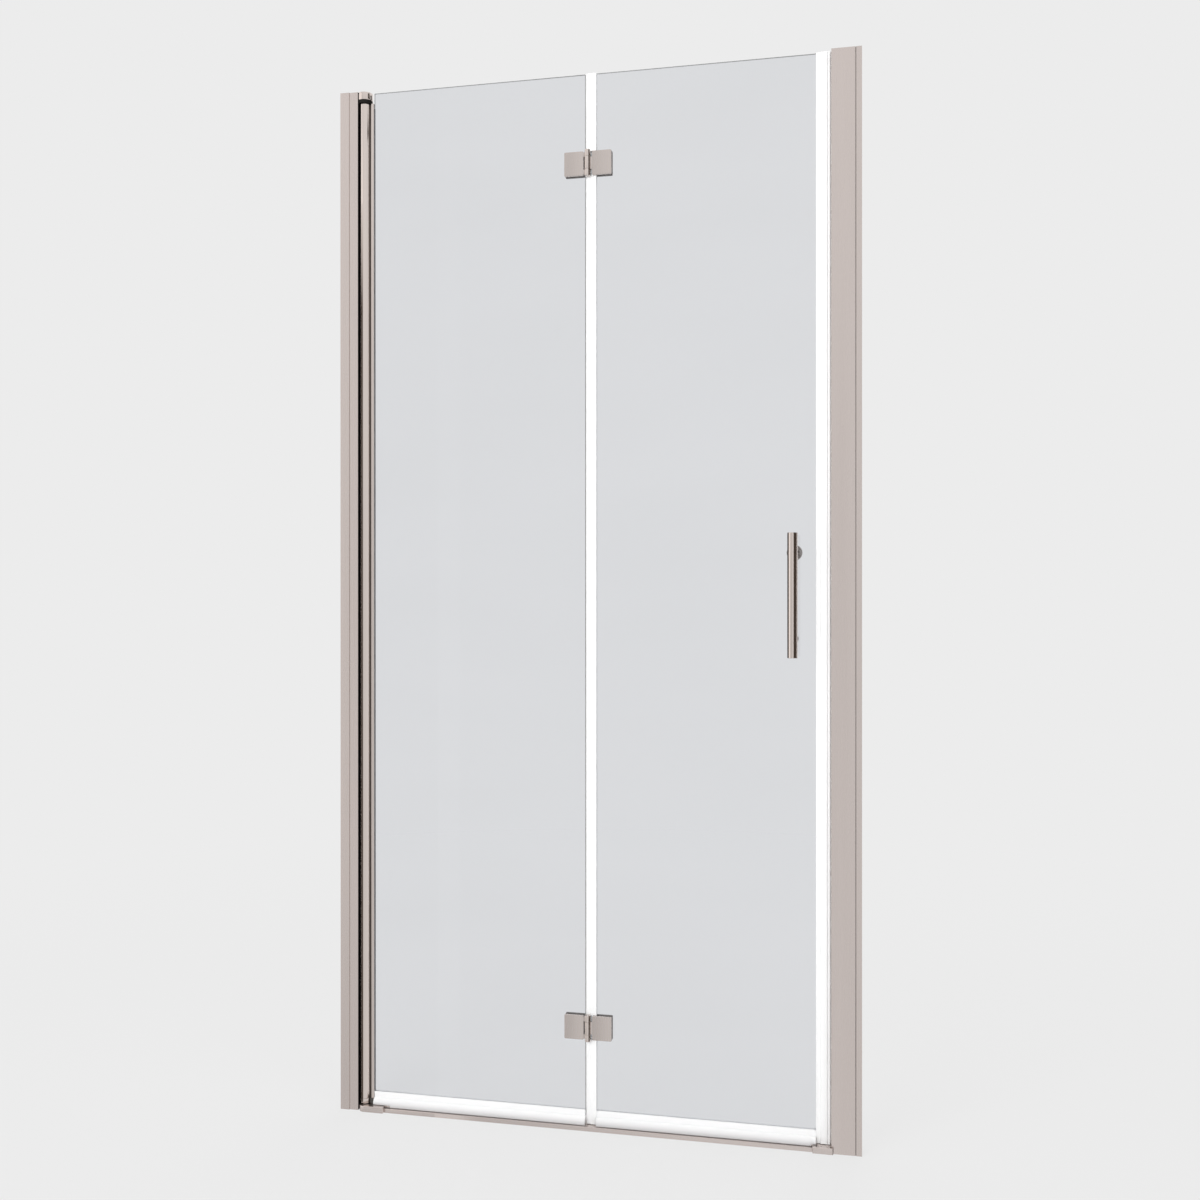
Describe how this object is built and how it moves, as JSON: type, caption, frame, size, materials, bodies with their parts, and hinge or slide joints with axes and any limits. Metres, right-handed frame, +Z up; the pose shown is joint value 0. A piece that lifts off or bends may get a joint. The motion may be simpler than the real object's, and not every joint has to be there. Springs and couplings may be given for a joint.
{
  "type": "shower door",
  "caption": "Frameless folding pivot shower door for a niche: wall jambs, pivot tube, hinged clear panes, white seals, threshold and a round bar handle.",
  "frame": {"origin": "on the floor, midway between the two walls, in the middle plane of the closed glass; it lies on the plane of the threshold's underside", "axes": "+X to the right along the closed door, +Y into the shower, +Z up; the handle side faces -Y"},
  "size_m": [0.98, 0.08, 1.95],
  "materials": {
    "nickel": "satin nickel plating and anodising, fine vertical grain",
    "steel": "plain stainless steel",
    "clear_glass": "clear toughened safety glass, polished edges",
    "clear_plastic": "clear moulded plastic",
    "white_seal": "smooth white PVC",
    "grey_rubber": "grey soft PVC",
    "black_plastic": "black acetal",
    "magnet": "flexible magnet bar"
  },
  "bodies": {
    "frame": {"left_wall_channel": "nickel", "right_wall_channel": "nickel", "left_jamb": "nickel", "right_jamb": "nickel", "jamb_clamp_screws": "steel", "jamb_magnet_strip": "white_seal", "jamb_magnet": "magnet", "threshold_bar": "nickel", "threshold_end_cap": "nickel", "pivot_foot": "nickel", "top_pivot_bracket": "nickel", "pivot_block_screws": "steel", "top_pivot_pin": "steel", "bottom_pivot_pin": "steel", "top_washer": "black_plastic", "bottom_washer": "black_plastic"},
    "inner_leaf": {"pivot_tube": "nickel", "top_bush": "black_plastic", "bottom_collar": "nickel", "bottom_bush": "black_plastic", "channel_end_plugs": "black_plastic", "glazing_gasket": "grey_rubber", "inner_pane": "clear_glass", "inner_sweep": "white_seal", "upper_hinge_inner_leaf": "nickel", "lower_hinge_inner_leaf": "nickel", "upper_hinge_inner_clamp": "nickel", "lower_hinge_inner_clamp": "nickel", "inner_hinge_pads": "grey_rubber", "inner_hinge_screws": "steel", "hinge_pins": "steel"},
    "outer_leaf": {"outer_pane": "clear_glass", "outer_sweep": "white_seal", "fold_seal": "white_seal", "closing_seal": "white_seal", "leaf_magnet": "magnet", "upper_hinge_outer_leaf": "nickel", "lower_hinge_outer_leaf": "nickel", "upper_hinge_outer_clamp": "nickel", "lower_hinge_outer_clamp": "nickel", "outer_hinge_pads": "grey_rubber", "outer_hinge_screws": "steel", "handle_bar": "nickel", "handle_posts": "nickel", "handle_studs": "steel", "handle_rings": "clear_plastic", "inside_knob": "nickel", "inside_cap": "nickel"}
  },
  "joints": [
    {"name": "pivot", "type": "hinge", "parent": "frame", "child": "inner_leaf", "pos_m": [-0.4455, 0, 0.9855], "axis": [0, 0, 1], "range_deg": [-85, 90]},
    {"name": "fold", "type": "hinge", "parent": "inner_leaf", "child": "outer_leaf", "pos_m": [-0.005, -0.0095, 0.9855], "axis": [0, 0, -1], "range_deg": [0, 165]}
  ]
}
